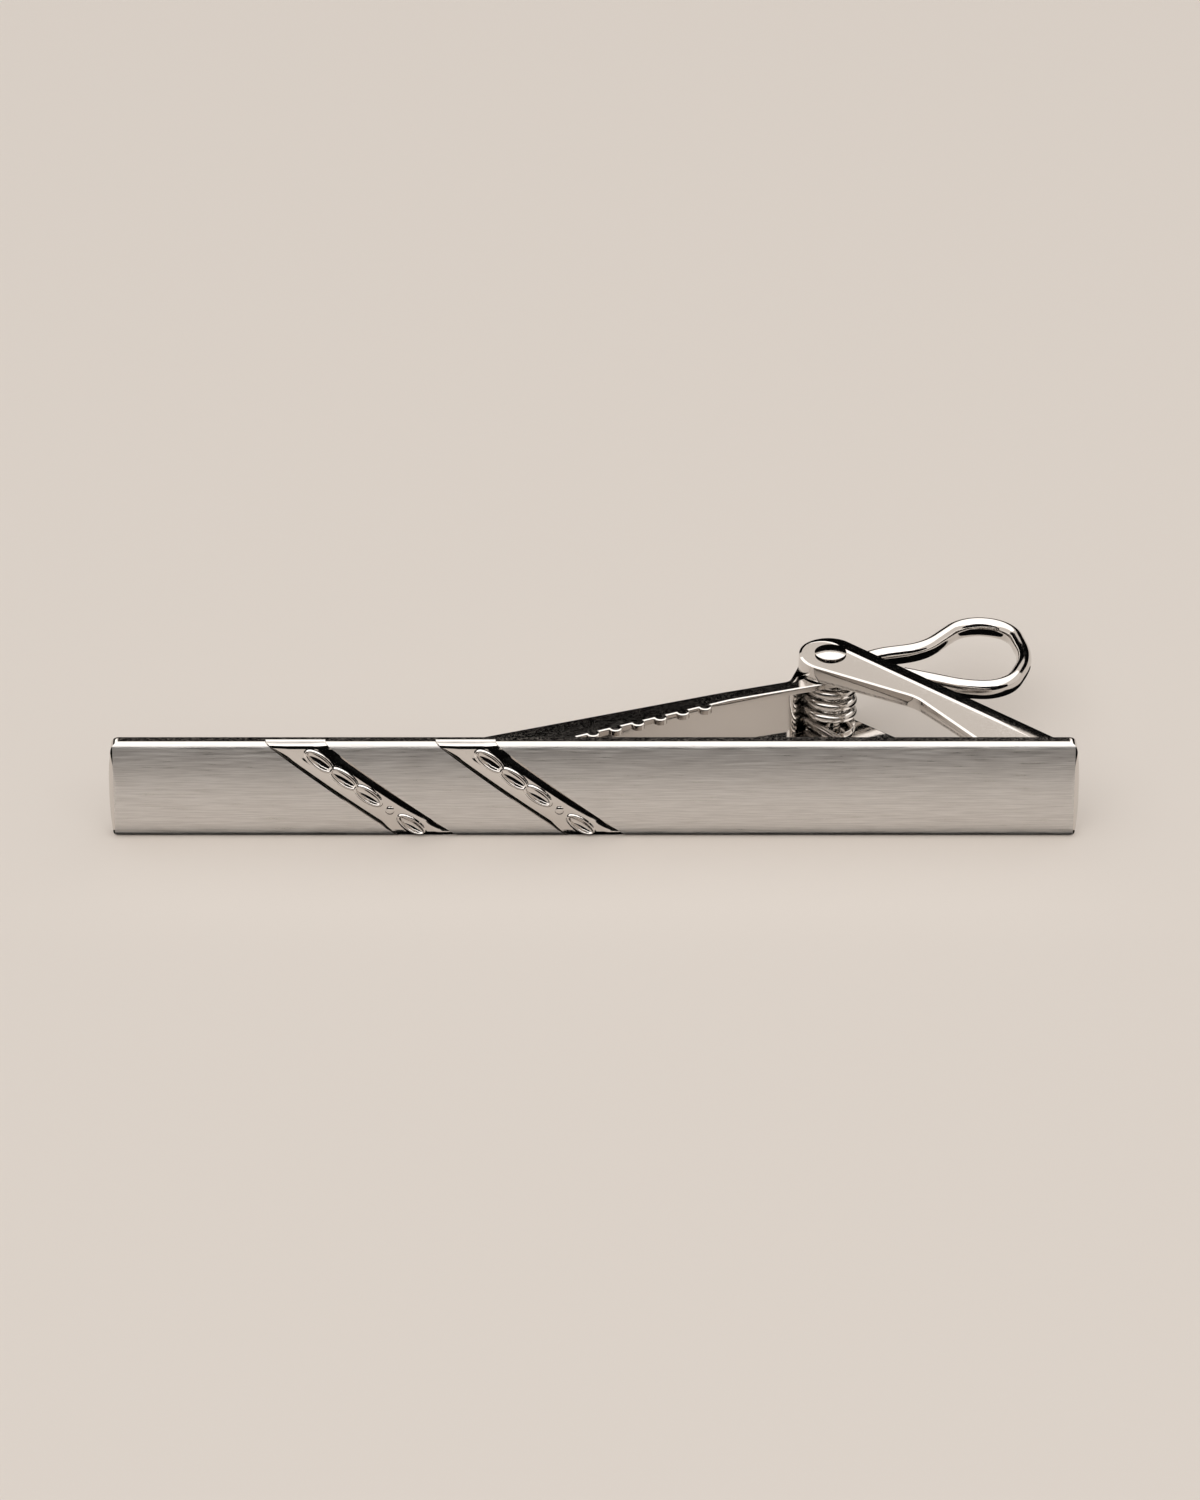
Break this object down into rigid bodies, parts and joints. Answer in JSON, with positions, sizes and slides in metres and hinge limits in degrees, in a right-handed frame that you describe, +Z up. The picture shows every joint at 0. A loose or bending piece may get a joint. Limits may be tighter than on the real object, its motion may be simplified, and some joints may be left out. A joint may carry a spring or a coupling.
{
  "type": "tie clip",
  "caption": "Metal tie clip: crowned brushed bar with ornamented diagonal grooves and, behind it, a sprung toothed clip arm with a thumb loop on a hinge bracket.",
  "frame": {"origin": "middle of the flat lower edge of the front plate, on which the clip stands", "axes": "+X along the bar towards the hinge bracket, +Y from the ornamented front towards the clip arm, +Z up, across the bar's width"},
  "size_m": [0.058, 0.0209, 0.0064],
  "materials": {
    "bar_face": "brushed",
    "ornament": "polished",
    "bar_back": "polished",
    "clip_plating": "polished",
    "spring_wire": "polished"
  },
  "bodies": {
    "bar": {"front_plate": "bar_face", "ornament_strip_left": "ornament", "ornament_strip_right": "ornament", "back_plate": "bar_back", "hinge_bracket": "clip_plating", "hinge_pin": "clip_plating", "torsion_spring": "spring_wire"},
    "clip": {"clip_arm": "clip_plating", "thumb_loop": "clip_plating"}
  },
  "joints": [
    {"name": "clip_hinge", "type": "hinge", "parent": "bar", "child": "clip", "pos_m": [0.0144, 0.011, 0.0032], "axis": [0, 0, -1], "range_deg": [0, 25], "stiffness_Nm_per_rad": 0.04, "springref_deg": -34.38, "deforming": ["torsion_spring"]}
  ]
}
